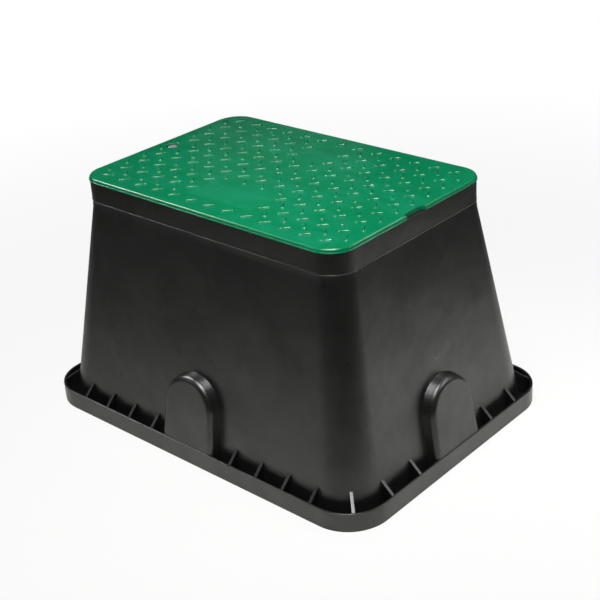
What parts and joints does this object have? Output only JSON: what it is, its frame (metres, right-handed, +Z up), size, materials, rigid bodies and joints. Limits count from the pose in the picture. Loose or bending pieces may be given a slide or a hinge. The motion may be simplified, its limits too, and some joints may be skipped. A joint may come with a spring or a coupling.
{
  "type": "irrigation valve box",
  "caption": "Rectangular flared ground box for irrigation valves, open at the bottom, with arched pipe bosses, a ribbed base flange and a treaded lift-off lid held by a lock bolt.",
  "frame": {"origin": "middle of the base outline, on the ground plane", "axes": "+Z up, +X along the long sides towards the end with the pry notch"},
  "size_m": [0.523, 0.3858, 0.3066],
  "materials": {
    "black_plastic": "fine grain, satin",
    "green_plastic": "satin, slightly clouded",
    "zinc_steel": "plain zinc plate"
  },
  "bodies": {
    "box": {"box_body": "black_plastic", "lock_nut": "zinc_steel"},
    "lid": {"lid": "green_plastic"},
    "washer": {"lock_washer": "zinc_steel"},
    "bolt": {"lock_bolt": "zinc_steel"}
  },
  "joints": [
    {"name": "lid_lift", "type": "slide", "parent": "box", "child": "lid", "axis": [0, 0, 1], "range_m": [0, 0.15]},
    {"name": "bolt_rise", "type": "slide", "parent": "lid", "child": "washer", "axis": [0, 0, 1], "range_m": [0, 0.01524]},
    {"name": "bolt_turn", "type": "hinge", "parent": "washer", "child": "bolt", "pos_m": [-0.1825, 0, 0.3], "axis": [0, 0, 1], "range_deg": [0, 4325]}
  ],
  "couplings": [
    {"joint": "bolt_turn", "follows": "bolt_rise", "rad_per_m": 4947.4}
  ]
}
